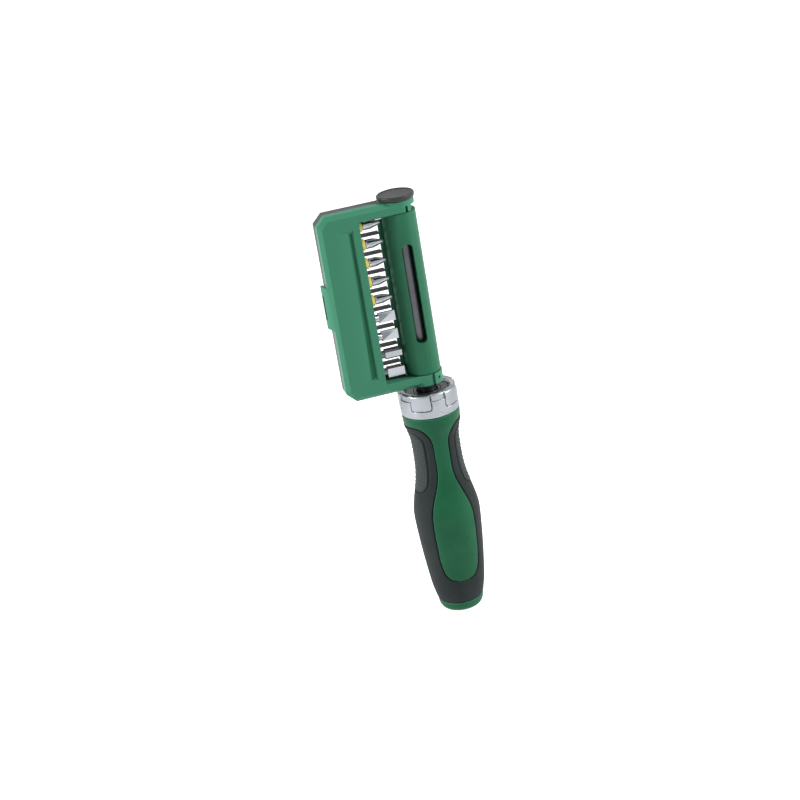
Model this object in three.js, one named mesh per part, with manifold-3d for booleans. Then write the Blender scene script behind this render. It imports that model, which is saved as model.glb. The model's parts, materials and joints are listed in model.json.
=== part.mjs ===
// A ratchet screwdriver with a hinged bit case on its shaft, in millimetres.
// Z runs along the tool axis and the butt face lies at z = 0.
// The front of the case faces -Y and the case reaches out to -X.
import * as THREE from 'three';
import { mergeVertices } from 'three/addons/utils/BufferGeometryUtils.js';
import Module from 'manifold-3d';

// Clearances: pieces that rest on each other, and pieces that turn or slide
const FIT = 0.3;
const RUN = 0.4;

// Small rims and chamfers
const EDGE = 0.4;

// Handle
const HANDLE_LENGTH = 105.5;
const HANDLE_RADIUS = 16.2;
const HEAD_SHARE = 0.8889;
const HEAD_RADIUS = HEAD_SHARE * HANDLE_RADIUS;
const HEAD_WALL = 4.2;
const BUTT_HEIGHT = 4.8;
const BUTT_FLAT_RADIUS = 8.6;
const BUTT_SPIGOT_RADIUS = 5.5;
const BUTT_SPIGOT_LENGTH = 7;
const GRIP_THICKNESS = 2;
const BAND_HEIGHT = 5.1;
const GRIP_TOP = HANDLE_LENGTH - BAND_HEIGHT;
const PANEL_SINK = 0.25;
const GROOVE_WIDTH = 0.7;
const GROOVE_DEPTH = 0.5;

// Handle outline: height as a share of the length, radius as a share of the largest radius
const HANDLE_STATIONS = [
  [0.0455, 0.691], [0.0664, 0.728], [0.1232, 0.809], [0.199, 0.87], [0.2844, 0.926],
  [0.3697, 0.969], [0.455, 1], [0.5118, 0.997], [0.5687, 0.932], [0.6161, 0.858],
  [0.6635, 0.784], [0.7299, 0.728], [0.8152, 0.716], [0.872, 0.728], [0.91, 0.784],
  [0.9479, 0.858], [1, HEAD_SHARE],
];

// Green panel on the front and back: height share, half width as a share of the largest radius
const PANEL_STATIONS = [
  [0.1706, 0.216], [0.1801, 0.358], [0.199, 0.481], [0.2275, 0.556], [0.2844, 0.617],
  [0.3412, 0.639], [0.4171, 0.657], [0.4929, 0.654], [0.5498, 0.599], [0.5972, 0.5],
  [0.6445, 0.383], [0.6919, 0.29], [0.7393, 0.253], [0.7962, 0.253], [0.8531, 0.256],
  [0.8815, 0.284], [0.9118, 0.37], [0.9412, 0.537], [0.9573, 0.802], [0.9716, 1.1],
];

// Thumb pad outline on each side of the neck: height shares and half width share
const PAD_LOW = 0.616;
const PAD_HIGH = 0.928;
const PAD_HALF_WIDTH = 0.568;
const PAD_CORNER = 5.5;

// Shaft, ratchet gear and pawls
const SHAFT_RADIUS = 5;
const JOURNAL_RADIUS = 4;
const SOCKET_FLATS = 6.35;
const SOCKET_DEPTH = 14;
const MAGNET_RADIUS = 2.6;
const MAGNET_HEIGHT = 2;
const GEAR_TEETH = 24;
const GEAR_ROOT_RADIUS = SHAFT_RADIUS + 0.6;
const GEAR_TIP_RADIUS = GEAR_ROOT_RADIUS + 0.8;
const GEAR_WIDTH = 4.4;
const HOUSING_RADIUS = HEAD_RADIUS - HEAD_WALL;
const PAWL_INNER_RADIUS = GEAR_TIP_RADIUS + RUN;
const PAWL_OUTER_RADIUS = HOUSING_RADIUS - 2 * FIT;
const PAWL_PIVOT_RADIUS = (PAWL_INNER_RADIUS + PAWL_OUTER_RADIUS) / 2;
const PAWL_PIVOT_ANGLE = 27;
const PAWL_NOSE_RADIUS = GEAR_ROOT_RADIUS + 0.35;
const PAWL_PIN_SHARE = 0.2143;
const PAWL_PIN_RADIUS = PAWL_PIN_SHARE * (PAWL_OUTER_RADIUS - PAWL_INNER_RADIUS);
const PAWL_PIN_SEAT = 1.2;
const PAWL_TOP_TRIM = 0.6;
const PAWL_ROOM_LEAD = 14;
const PAWL_ROOM_TAIL = 42;

// Ratchet housing and selector ring
const TANG_FLATS = 11;
const TANG_LENGTH = 26;
const HEAD_DEPTH = BAND_HEIGHT - 4 * FIT;
const HOUSING_FLOOR = 1;
const HOUSING_LIP = 1.6;
const RING_HEIGHT = 11.6;
const RING_RADIUS = HEAD_RADIUS + 0.1;
const RING_RIM_HEIGHT = 3.4;
const RING_WAIST_RADIUS = HEAD_RADIUS - 1;
const RING_CROWN_RADIUS = HEAD_RADIUS - 0.5;
const RING_CROWN_HEIGHT = 2.3;
const RING_RECESS_RADIUS = HOUSING_RADIUS + 1.2;
const RING_RECESS_DEPTH = 4.3;
const LUG_COUNT = 5;
const LUG_SPAN = 38;
const LUG_FIRST = -29;
const LUG_RADIUS = HEAD_RADIUS;
const CLIP_THICKNESS = 0.9;
const CLIP_REACH = 0.8;
const CLIP_GAP = 60;
const CLIP_GAP_SPAN = 16;
const CLIP_EAR_SPAN = 10;

// Hinge tube with its rings and cap
const TUBE_RADIUS = 8.25;
const SPIGOT_RADIUS = 6.6;
const HINGE_RADIUS = TUBE_RADIUS + 0.05;
const SLOT_WIDTH = 5.3;
const SLOT_SHARE = 0.614;
const SLOT_SHIFT = 0.5;
const FIN_REACH = 1.8;
const FIN_THICKNESS = 1.4;
const FLANGE_HEIGHT = 2.6;
const KNUCKLE_END = 38;
const KNUCKLE_SLIT = [16, 25];
const BLOCK_START = 22;
const BLOCK_END = 100;
const BLOCK_GROOVE = 13;
const DIMPLE_ANGLE = 41;
const DIMPLE_RADIUS = 0.8;
const CAP_RADIUS = 8.9;
const CAP_HEIGHT = 2.3;
const CAP_RIM = 0.9;
const CAP_DISH = 0.35;
const CAP_STEM_LENGTH = 7;

// Bits lie along X with their tips towards the tube
const BIT_COUNT = 9;
const BIT_PITCH = 9.15;
const BIT_FLATS = 6.35;
const BIT_LENGTH = 25;
const BIT_SHANK = 13.2;
const BIT_NECK_RADIUS = 1.9;
const BIT_TIP_GAP = 1.35;
const BIT_START = -TUBE_RADIUS - BIT_TIP_GAP - BIT_LENGTH;
const SLEEVE_LENGTH = 3.2;
const SLEEVE_START = BIT_SHANK + 0.6;
const SLEEVE_RADIUS = 2.8;
const SLEEVED_BITS = 5;
const BIT_TIPS = ['cross', 'cross', 'cross', 'cross', 'cross', 'blade', 'blade', 'hex', 'square'];
const CROSS_POINT_RADIUS = 0.9;
const CROSS_SHOULDER = 3.2;
const FLUTE_DEPTH = 0.75;
const FLUTE_HALF_WIDTH = 1.5;
const BLADE_WIDTH = 5;
const BLADE_THICKNESS = 1.3;
const HEX_TIP_FLATS = 4.8;
const SQUARE_TIP = 4.4;

// Bit case: it fits round the bits, and its front lies almost level with the tube
const CASE_LIFT = 2.7;
const CASE_CHAMFER = 4.4;
const CASE_WALL = 2;
const CASE_SKIN = 1.8;
const CASE_END_GAP = 3.2;
const CASE_LEFT = BIT_START - CASE_END_GAP - CASE_WALL;
const CASE_STEP = 0.45;
const CASE_FRONT = CASE_STEP - TUBE_RADIUS;
const CASE_DEPTH = 13.2;
const COVER_DEPTH = 6.4;
const CASE_BACK = CASE_FRONT + CASE_DEPTH;
const CASE_PARTING = CASE_FRONT + COVER_DEPTH;
const BIT_DEPTH = (CASE_FRONT + CASE_BACK) / 2;
const COVER_BEVEL = 2;
const SHELL_BEVEL = 1.6;
const BAR_HEIGHT = 5.4;
const WINDOW_MARGIN = 0.52;
const WINDOW_LEFT = BIT_START + BIT_SHANK + 1.1;
const ARM_HEIGHT = 3.2;
const RECESS_BORDER = 3.4;
const RECESS_WIDTH = 9;
const RECESS_DEPTH = 0.8;
const RECESS_MARGIN = 3;
const RECESS_SLOPE = 3;
const RECESS_PROFILE = [
  [0, 0], [0.2, 0.08], [0.45, 0.3], [0.7, 0.66], [0.85, 0.9], [0.93, 1], [0.97, 0.8], [1, 0],
];
const RAIL_WIDTH = 9;
const RAIL_END = BIT_START + BIT_SHANK - 2;
const FINGER_RISE = 1.1;
const FINGER_DEPTH = 3.4;

// Latch tab on the cover and catch bead on the rear shell
const LATCH_LENGTH = 21;
const LATCH_SHIFT = 1.2;
const LATCH_REACH = CASE_PARTING + 3.8;
const LATCH_THICKNESS = 1.5;
const LATCH_GAP = 0.5;
const LATCH_SLOT_MARGIN = 4.5;
const LATCH_SLOT_WIDTH = 1.2;
const BEAD_RISE = 0.25;

// Mesh fineness
const ROUND_STEPS = 36;
const SMALL_STEPS = 12;
const INNER_STEPS = 24;
const ARC_STEP = 18;
const WELD = 1e-4;

// Colours and finishes
const GREEN = { color: 0x3c7058, roughness: 0.42, metalness: 0 };
const RUBBER = { color: 0x3a3c3e, roughness: 0.85, metalness: 0 };
const DARK_PLASTIC = { color: 0x46484a, roughness: 0.6, metalness: 0 };
const BLACK_PLASTIC = { color: 0x17181a, roughness: 0.45, metalness: 0 };
const SATIN_STEEL = { color: 0xb9bcbe, roughness: 0.35, metalness: 1 };
const CHROME = { color: 0xd6d8da, roughness: 0.15, metalness: 1 };
const DARK_STEEL = { color: 0x5b5d60, roughness: 0.5, metalness: 1 };
const YELLOW = { color: 0xf0c846, roughness: 0.5, metalness: 0 };

const wasm = await Module();
wasm.setup();
const group = new THREE.Group();

// A closed geometry as a solid that can be cut and joined
function solid(geometry) {
  geometry.deleteAttribute('normal');
  geometry.deleteAttribute('uv');
  const merged = mergeVertices(geometry, WELD);
  const corners = merged.index.array;
  const faces = [];
  for (let i = 0; i < corners.length; i += 3) {
    const [a, b, c] = corners.slice(i, i + 3);
    if (a !== b && b !== c && c !== a) faces.push(a, b, c);
  }
  return new wasm.Manifold(new wasm.Mesh({
    numProp: 3,
    vertProperties: new Float32Array(merged.attributes.position.array),
    triVerts: new Uint32Array(faces),
  }));
}

// A body turned about the Z axis from [radius, height] points
function lathe(points, steps = ROUND_STEPS) {
  const profile = points.map(([r, z]) => new THREE.Vector2(r, z));
  return solid(new THREE.LatheGeometry(profile, steps).rotateX(Math.PI / 2));
}

// A ring with a square section
function ring(inner, outer, low, high, steps = ROUND_STEPS) {
  return lathe([[inner, low], [outer, low], [outer, high], [inner, high], [inner, low]], steps);
}

// A plain round rod along Z
function rod(radius, low, high, x = 0, y = 0, steps = ROUND_STEPS) {
  return lathe([[0, low], [radius, low], [radius, high], [0, high]], steps).translate([x, y, 0]);
}

// A box between two corners
function box(x0, x1, y0, y1, z0, z1) {
  const geometry = new THREE.BoxGeometry(x1 - x0, y1 - y0, z1 - z0);
  return solid(geometry.translate((x0 + x1) / 2, (y0 + y1) / 2, (z0 + z1) / 2));
}

// An outline of [x, y] points raised along Z
function column(outline, low, high) {
  const shape = new THREE.Shape(outline.map(([x, y]) => new THREE.Vector2(x, y)));
  const geometry = new THREE.ExtrudeGeometry(shape, { depth: high - low, bevelEnabled: false });
  return solid(geometry.translate(0, 0, low));
}

// An outline of [x, z] points laid from one Y to another, with both rims bevelled
function slab(outline, front, back, bevel = 0, rise = bevel, steps = 1) {
  const shape = new THREE.Shape(outline.map(([x, z]) => new THREE.Vector2(x, z)));
  const geometry = new THREE.ExtrudeGeometry(shape, {
    depth: back - front - 2 * rise,
    bevelEnabled: bevel > 0,
    bevelSize: bevel,
    bevelOffset: -bevel,
    bevelThickness: rise,
    bevelSegments: steps,
  });
  return solid(geometry.rotateX(Math.PI / 2).translate(0, back - rise, 0));
}

// A point on a circle, with the angle in degrees from the front towards +X
function front(radius, angle) {
  const turn = THREE.MathUtils.degToRad(angle);
  return [radius * Math.sin(turn), -radius * Math.cos(turn)];
}

// A point on a circle, with the angle in degrees from +X towards +Y
function polar(radius, angle) {
  return front(radius, angle + 90);
}

// Points along an arc about the Z axis
function arc(radius, from, to, point = front) {
  const steps = Math.max(2, Math.ceil(Math.abs(to - from) / ARC_STEP));
  return Array.from({ length: steps + 1 }, (_, i) => point(radius, from + (to - from) * i / steps));
}

// A curved block between two radii and two angles
function sector(inner, outer, from, to, low, high, point = front) {
  return column([...arc(inner, from, to, point), ...arc(outer, to, from, point)], low, high);
}

// A regular hexagon as [x, y] points with flats across Y
function hexagon(flats) {
  const radius = flats / Math.sqrt(3);
  return Array.from({ length: 6 }, (_, i) => polar(radius, i * 60));
}

// A rectangle with rounded corners
function roundedRectangle(halfWidth, low, high, corner) {
  const centres = [
    [halfWidth - corner, low + corner, -90], [halfWidth - corner, high - corner, 0],
    [corner - halfWidth, high - corner, 90], [corner - halfWidth, low + corner, 180],
  ];
  return centres.flatMap(([x, z, start]) => arc(corner, start, start + 90, polar)
    .map(([dx, dz]) => [x + dx, z + dz]));
}

// A finished piece with its own colour
function piece(name, body, look) {
  const mesh = body.getMesh();
  const geometry = new THREE.BufferGeometry();
  geometry.setAttribute('position', new THREE.BufferAttribute(mesh.vertProperties, 3));
  geometry.setIndex(new THREE.BufferAttribute(mesh.triVerts, 1));
  geometry.computeVertexNormals();
  const part = new THREE.Mesh(geometry, new THREE.MeshStandardMaterial(look));
  part.name = name;
  group.add(part);
}

// Smooth handle outline, read at any height
const handlePoints = HANDLE_STATIONS.map(([along, out]) => (
  new THREE.Vector2(out * HANDLE_RADIUS, along * HANDLE_LENGTH)));
const handleRows = new THREE.SplineCurve(handlePoints).getPoints(handlePoints.length * 4);

function handleRadius(z) {
  const next = handleRows.findIndex((row) => row.y >= z);
  if (next === 0) return handleRows[0].x;
  if (next < 0) return handleRows.at(-1).x;
  const [a, b] = [handleRows[next - 1], handleRows[next]];
  return THREE.MathUtils.mapLinear(z, a.y, b.y, a.x, b.x);
}

// A body of the handle's own form, set in from its surface
function handleForm(inset, low, high) {
  const between = handlePoints.map((point) => point.y)
    .filter((z) => z > low + FIT && z < high - FIT);
  const rows = [low, ...between, high].map((z) => [handleRadius(z) - inset, z]);
  return lathe([[0, low], ...rows, [0, high]]);
}

// The bottle-shaped panel outline, drawn in all round by an inset
function panelOutline(inset) {
  const right = PANEL_STATIONS.map(([along, half], i) => (
    [half * HANDLE_RADIUS - inset, along * HANDLE_LENGTH + (i === 0 ? inset : 0)]));
  const left = right.map(([x, z]) => [-x, z]).reverse();
  return [...right, ...left];
}

// Handle pieces
const gripBottom = BUTT_HEIGHT + FIT;
const reach = 2 * HANDLE_RADIUS;
const headBase = HANDLE_LENGTH - HEAD_DEPTH;
const tangBase = headBase - TANG_LENGTH;

const buttRadius = handleRadius(BUTT_HEIGHT);
const buttRim = Array.from({ length: 5 }, (_, i) => {
  const turn = Math.PI / 2 * i / 4;
  return [
    BUTT_FLAT_RADIUS + (buttRadius - BUTT_FLAT_RADIUS) * Math.sin(turn),
    BUTT_HEIGHT * (1 - Math.cos(turn)),
  ];
});
piece('butt_cap', lathe([
  [0, 0], ...buttRim, [BUTT_SPIGOT_RADIUS, BUTT_HEIGHT],
  [BUTT_SPIGOT_RADIUS, BUTT_HEIGHT + BUTT_SPIGOT_LENGTH], [0, BUTT_HEIGHT + BUTT_SPIGOT_LENGTH],
]), GREEN);

const panel = handleForm(PANEL_SINK, gripBottom, GRIP_TOP)
  .intersect(slab(panelOutline(FIT), -reach, reach));
const band = handleForm(0, GRIP_TOP + FIT, HANDLE_LENGTH);
const buttSocket = rod(BUTT_SPIGOT_RADIUS + FIT, 0, BUTT_HEIGHT + BUTT_SPIGOT_LENGTH + FIT);
const headSeat = rod(HOUSING_RADIUS + FIT, headBase - FIT, HANDLE_LENGTH + RUN);
const tangSeat = column(hexagon(TANG_FLATS + 2 * FIT), tangBase - FIT, headBase);
piece('handle_core', handleForm(GRIP_THICKNESS + FIT, gripBottom, GRIP_TOP + 2 * FIT)
  .add(panel).add(band).subtract(buttSocket).subtract(headSeat).subtract(tangSeat), GREEN);

const padOutline = (inset) => roundedRectangle(
  PAD_HALF_WIDTH * HANDLE_RADIUS - inset, PAD_LOW * HANDLE_LENGTH + inset,
  PAD_HIGH * HANDLE_LENGTH - inset, PAD_CORNER - inset);
const padGroove = slab(padOutline(0), -reach, reach)
  .subtract(slab(padOutline(GROOVE_WIDTH), -2 * reach, 2 * reach))
  .rotate([0, 0, 90])
  .subtract(handleForm(GROOVE_DEPTH, gripBottom, GRIP_TOP));
piece('grip_overmould', handleForm(0, gripBottom, GRIP_TOP)
  .subtract(handleForm(GRIP_THICKNESS, 0, HANDLE_LENGTH))
  .subtract(slab(panelOutline(0), -reach, reach)).subtract(padGroove), RUBBER);

// Ratchet housing, pressed into the handle by its six-sided tang
const ringBottom = HANDLE_LENGTH + RUN;
const ringTop = ringBottom + RING_HEIGHT;
const shelf = ringTop - RING_RECESS_DEPTH;
const clipBottom = shelf + FIT;
const clipTop = clipBottom + CLIP_THICKNESS;
const housingTop = clipTop + HOUSING_LIP;
const chamberRadius = GEAR_TIP_RADIUS + RUN;
const chamberFloor = ringBottom + HOUSING_FLOOR;
const gearBottom = chamberFloor + RUN;
const gearTop = gearBottom + GEAR_WIDTH;
const pawlWindowTop = gearTop + RUN;
const bushBottom = gearTop + 2 * RUN;
const clipGroove = ring(HOUSING_RADIUS - CLIP_REACH, 2 * HOUSING_RADIUS, shelf, clipTop + FIT,
  INNER_STEPS);
const pivot = polar(PAWL_PIVOT_RADIUS, PAWL_PIVOT_ANGLE);
const pinLow = chamberFloor - PAWL_PIN_SEAT;
const pinHigh = pawlWindowTop + 2 * RUN;

function pawlSpace(side) {
  const [from, to] = side > 0 ? [-PAWL_ROOM_LEAD, PAWL_ROOM_TAIL]
    : [180 - PAWL_ROOM_TAIL, 180 + PAWL_ROOM_LEAD];
  const room = sector(chamberRadius - 1, HOUSING_RADIUS + 1, from, to,
    chamberFloor, pawlWindowTop, polar);
  return room.add(rod(PAWL_PIN_RADIUS + FIT, pinLow - FIT, pinHigh + FIT,
    side * pivot[0], pivot[1], SMALL_STEPS));
}

piece('ratchet_housing', rod(HOUSING_RADIUS, headBase, housingTop, 0, 0, INNER_STEPS)
  .add(column(hexagon(TANG_FLATS), tangBase, headBase + 1))
  .subtract(rod(JOURNAL_RADIUS + RUN, tangBase + 1, housingTop + 1, 0, 0, INNER_STEPS))
  .subtract(rod(chamberRadius, chamberFloor, housingTop + 1, 0, 0, INNER_STEPS))
  .subtract(clipGroove).subtract(pawlSpace(1)).subtract(pawlSpace(-1)), DARK_STEEL);
piece('bearing_bush', ring(SHAFT_RADIUS + RUN, chamberRadius - FIT, bushBottom, housingTop,
  INNER_STEPS), DARK_STEEL);

// Open retaining clip with two ears, seated in the housing groove above the selector ring
const clipRadius = RING_RECESS_RADIUS - 2 * FIT;
const clipInner = HOUSING_RADIUS - CLIP_REACH + FIT;
const clipEdges = [CLIP_GAP - CLIP_GAP_SPAN / 2, CLIP_GAP + CLIP_GAP_SPAN / 2];
const clipGap = sector(clipInner - 1, clipRadius + 1, ...clipEdges, clipBottom - 1, clipTop + 1);
const clipEar = (from) => sector(HOUSING_RADIUS + FIT, clipRadius, from, from + CLIP_EAR_SPAN,
  clipBottom, clipTop + CLIP_REACH);
piece('retaining_clip', ring(clipInner, clipRadius, clipBottom, clipTop, INNER_STEPS).subtract(clipGap)
  .add(clipEar(clipEdges[0] - CLIP_EAR_SPAN)).add(clipEar(clipEdges[1])), DARK_STEEL);

// Selector ring with its finger lugs
const rimTop = ringBottom + RING_RIM_HEIGHT;
const crownBottom = ringTop - RING_CROWN_HEIGHT;
const lugs = Array.from({ length: LUG_COUNT }, (_, i) => {
  const middle = LUG_FIRST + i * 360 / LUG_COUNT;
  return sector(RING_RECESS_RADIUS + 1, LUG_RADIUS, middle - LUG_SPAN / 2, middle + LUG_SPAN / 2,
    rimTop + 2 * EDGE, ringTop - 2 * EDGE);
});
piece('selector_ring', lugs.reduce((sum, lug) => sum.add(lug), lathe([
  [HOUSING_RADIUS + RUN, ringBottom], [RING_RADIUS - EDGE, ringBottom],
  [RING_RADIUS, ringBottom + EDGE], [RING_RADIUS, rimTop - EDGE],
  [RING_WAIST_RADIUS, rimTop], [RING_WAIST_RADIUS, crownBottom],
  [RING_CROWN_RADIUS, crownBottom + EDGE], [RING_CROWN_RADIUS, ringTop - 2 * EDGE],
  [RING_CROWN_RADIUS - 2 * EDGE, ringTop], [RING_RECESS_RADIUS, ringTop],
  [RING_RECESS_RADIUS, shelf], [HOUSING_RADIUS + RUN, shelf], [HOUSING_RADIUS + RUN, ringBottom],
])), SATIN_STEEL);

// Heights in the case, all from the selector ring and the row of bits
const caseBottom = ringTop + CASE_LIFT;
const barBottomTop = caseBottom + BAR_HEIGHT;
const barTopBottom = barBottomTop + (BIT_COUNT - 1) * BIT_PITCH + BIT_FLATS + 2 * WINDOW_MARGIN;
const caseTop = barTopBottom + BAR_HEIGHT;
const caseMiddle = (caseBottom + caseTop) / 2;
const tubeLow = barBottomTop + RUN;
const tubeHigh = barTopBottom - RUN;
const bitLevel = (index) => barTopBottom - WINDOW_MARGIN - BIT_FLATS / 2 - index * BIT_PITCH;
const bitLevels = Array.from({ length: BIT_COUNT }, (_, i) => bitLevel(i));
const trayFloor = CASE_BACK - CASE_SKIN;

// Shaft with its six-sided bit socket, gear and magnet; the cap stem stops at its tip
const capLow = caseTop + FIT;
const shaftTip = capLow - CAP_STEM_LENGTH - FIT;
const socketFloor = shaftTip - SOCKET_DEPTH;
const shoulder = gearTop + FIT;
piece('shaft', lathe([
  [0, tangBase + 1 + RUN], [JOURNAL_RADIUS, tangBase + 1 + RUN], [JOURNAL_RADIUS, shoulder],
  [SHAFT_RADIUS, shoulder], [SHAFT_RADIUS, shaftTip - 2 * EDGE],
  [SHAFT_RADIUS - EDGE, shaftTip], [0, shaftTip],
], INNER_STEPS).subtract(column(hexagon(SOCKET_FLATS + FIT), socketFloor, shaftTip + 1)), CHROME);
piece('bit_magnet', rod(MAGNET_RADIUS, socketFloor + FIT, socketFloor + FIT + MAGNET_HEIGHT,
  0, 0, SMALL_STEPS), DARK_STEEL);

const toothPitch = 360 / GEAR_TEETH;
const gearOutline = Array.from({ length: GEAR_TEETH }, (_, i) => [
  polar(GEAR_ROOT_RADIUS, (i - 0.07) * toothPitch), polar(GEAR_ROOT_RADIUS, (i + 0.07) * toothPitch),
  polar(GEAR_TIP_RADIUS, (i + 0.43) * toothPitch), polar(GEAR_TIP_RADIUS, (i + 0.57) * toothPitch),
]).flat();
piece('ratchet_gear', column(gearOutline, gearBottom, gearTop)
  .subtract(rod(JOURNAL_RADIUS + FIT, gearBottom - 1, gearTop + 1, 0, 0, INNER_STEPS)), DARK_STEEL);

// Two facing pawls, each on its own pin
const pawlTail = PAWL_PIVOT_ANGLE + 9;
const pawlEnd = -8;
const noseOutline = [
  polar(PAWL_INNER_RADIUS, 3.2), polar(PAWL_NOSE_RADIUS, 0.8),
  polar(PAWL_NOSE_RADIUS, -0.8), polar(PAWL_INNER_RADIUS, -3.2),
];
const pawlOutline = [
  ...arc(PAWL_INNER_RADIUS, pawlTail, 6, polar), ...noseOutline, polar(PAWL_INNER_RADIUS, pawlEnd),
  polar(PAWL_OUTER_RADIUS - PAWL_TOP_TRIM, pawlEnd),
  ...arc(PAWL_OUTER_RADIUS, PAWL_PIVOT_ANGLE - 15, pawlTail, polar),
];
for (const [name, side] of [['right', 1], ['left', -1]]) {
  const outline = pawlOutline.map(([x, y]) => [side * x, y]);
  const hole = rod(PAWL_PIN_RADIUS + FIT, pinLow - 1, pinHigh + 1,
    side * pivot[0], pivot[1], SMALL_STEPS);
  piece(`pawl_${name}`, column(outline, gearBottom, gearTop).subtract(hole), DARK_STEEL);
  piece(`pawl_pin_${name}`, rod(PAWL_PIN_RADIUS, pinLow, pinHigh,
    side * pivot[0], pivot[1], SMALL_STEPS), CHROME);
}

// Hinge tube that slides on the shaft, with a long view slot and a thin fin behind the bit tips
const slotHalf = SLOT_SHARE * (tubeHigh - tubeLow) / 2;
const slotMiddle = caseMiddle + SLOT_SHIFT;
const slotOutline = roundedRectangle(SLOT_WIDTH / 2, slotMiddle - slotHalf, slotMiddle + slotHalf,
  SLOT_WIDTH / 2 - EDGE);
const finBack = trayFloor - RUN;
const finLeft = -TUBE_RADIUS - FIN_REACH;
const fin = box(finLeft, -SPIGOT_RADIUS, finBack - FIN_THICKNESS, finBack, tubeLow + ARM_HEIGHT,
  tubeHigh - ARM_HEIGHT);
piece('hinge_tube', rod(TUBE_RADIUS, tubeLow, tubeHigh).add(fin)
  .add(rod(SPIGOT_RADIUS, caseBottom, caseTop))
  .subtract(rod(SHAFT_RADIUS + RUN, caseBottom - 1, caseTop + 1))
  .subtract(slab(slotOutline, -reach, 0)), GREEN);
const capHigh = capLow + CAP_HEIGHT;
piece('tube_cap', lathe([
  [0, capLow - CAP_STEM_LENGTH], [SHAFT_RADIUS + RUN - FIT, capLow - CAP_STEM_LENGTH],
  [SHAFT_RADIUS + RUN - FIT, capLow], [CAP_RADIUS - EDGE, capLow], [CAP_RADIUS, capLow + EDGE],
  [CAP_RADIUS, capHigh - EDGE], [CAP_RADIUS - EDGE, capHigh], [CAP_RADIUS - CAP_RIM, capHigh],
  [CAP_RADIUS - CAP_RIM - EDGE, capHigh - CAP_DISH], [0, capHigh - CAP_DISH],
]), BLACK_PLASTIC);

// Front view outline shared by both halves of the case
const caseOutline = (right) => [
  [CASE_LEFT, caseBottom + CASE_CHAMFER], [CASE_LEFT + CASE_CHAMFER, caseBottom],
  [right, caseBottom], [right, caseTop],
  [CASE_LEFT + CASE_CHAMFER, caseTop], [CASE_LEFT, caseTop - CASE_CHAMFER],
];
const coverBack = CASE_PARTING - FIT / 2;
const shellFront = CASE_PARTING + FIT / 2;
const far = 2 * Math.abs(CASE_LEFT);

// Cover: a flat C-shaped frame with a long thumb recess, hinge rings and latch tab
const coverPlate = slab(caseOutline(COVER_BEVEL), CASE_FRONT, CASE_BACK, COVER_BEVEL)
  .intersect(box(-far, 0, -far, coverBack, 0, far * far));
const coverWindow = box(WINDOW_LEFT, far, -far, far, barBottomTop, barTopBottom);
const coverHollow = box(CASE_LEFT + CASE_WALL, WINDOW_LEFT + 1, CASE_FRONT + CASE_SKIN, far,
  barBottomTop, barTopBottom);
const recessRight = WINDOW_LEFT - RECESS_BORDER;
const recessLow = barBottomTop + RECESS_MARGIN;
const recessHigh = barTopBottom - RECESS_MARGIN;
const recessProfile = RECESS_PROFILE.map(([along, depth]) => (
  [recessRight + (along - 1) * RECESS_WIDTH, CASE_FRONT + depth * RECESS_DEPTH]));
const recessBlock = roundedRectangle(RECESS_WIDTH, recessLow, recessHigh, RECESS_WIDTH / 2)
  .map(([x, z]) => [x + recessRight - RECESS_WIDTH / 2, z]);
const recess = column([...recessProfile, [recessRight, CASE_FRONT - EDGE],
  [recessRight - RECESS_WIDTH, CASE_FRONT - EDGE]], recessLow, recessHigh)
  .intersect(slab(recessBlock, CASE_FRONT - 3 * RECESS_DEPTH, CASE_FRONT + RECESS_DEPTH, RECESS_SLOPE,
    RECESS_DEPTH, 3));
const hingeBore = rod(SPIGOT_RADIUS + RUN, caseBottom - 1, caseTop + 1);
const topFlange = rod(HINGE_RADIUS, caseTop - FLANGE_HEIGHT, caseTop);
const topKnuckle = sector(SPIGOT_RADIUS, HINGE_RADIUS, -90, KNUCKLE_END, barTopBottom, caseTop)
  .subtract(sector(SPIGOT_RADIUS - 1, HINGE_RADIUS + 1, ...KNUCKLE_SLIT, barTopBottom - 1,
    caseTop - FLANGE_HEIGHT));
const dimple = rod(DIMPLE_RADIUS, -1, 1, 0, 0, SMALL_STEPS).rotate([90, 0, 0])
  .translate([0, -HINGE_RADIUS - EDGE, caseBottom + BAR_HEIGHT / 2]).rotate([0, 0, DIMPLE_ANGLE]);
const bottomRing = rod(HINGE_RADIUS, caseBottom, barBottomTop)
  .subtract(sector(HINGE_RADIUS - 2 * EDGE, HINGE_RADIUS + 1, BLOCK_GROOVE, BLOCK_START, 0, far * far))
  .add(sector(SPIGOT_RADIUS, HINGE_RADIUS + EDGE, BLOCK_START, BLOCK_END, caseBottom, barBottomTop))
  .subtract(dimple);
const latchLow = caseMiddle + LATCH_SHIFT - LATCH_LENGTH / 2;
const latchHigh = latchLow + LATCH_LENGTH;
const latchSlotLow = coverBack + 2 * LATCH_GAP;
const latchSlotHigh = latchSlotLow + LATCH_SLOT_WIDTH;
const latchInner = CASE_LEFT - LATCH_GAP;
const latchOuter = latchInner - LATCH_THICKNESS;
const latchTab = column([
  [CASE_LEFT + CASE_WALL / 2, CASE_FRONT + 2 * COVER_BEVEL], [CASE_LEFT, CASE_FRONT + COVER_BEVEL],
  [latchOuter, latchSlotHigh], [latchOuter, LATCH_REACH - 2 * EDGE],
  [latchOuter + EDGE, LATCH_REACH], [latchInner, LATCH_REACH],
  [latchInner, coverBack], [CASE_LEFT + CASE_WALL / 2, coverBack],
], latchLow, latchHigh).subtract(box(-far, latchInner + EDGE, latchSlotLow, latchSlotHigh,
  latchLow + LATCH_SLOT_MARGIN, latchHigh - LATCH_SLOT_MARGIN));
piece('case_cover', coverPlate.subtract(coverWindow).subtract(coverHollow).subtract(recess)
  .add(topFlange).add(topKnuckle).add(bottomRing).subtract(hingeBore)
  .add(latchTab), GREEN);

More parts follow.
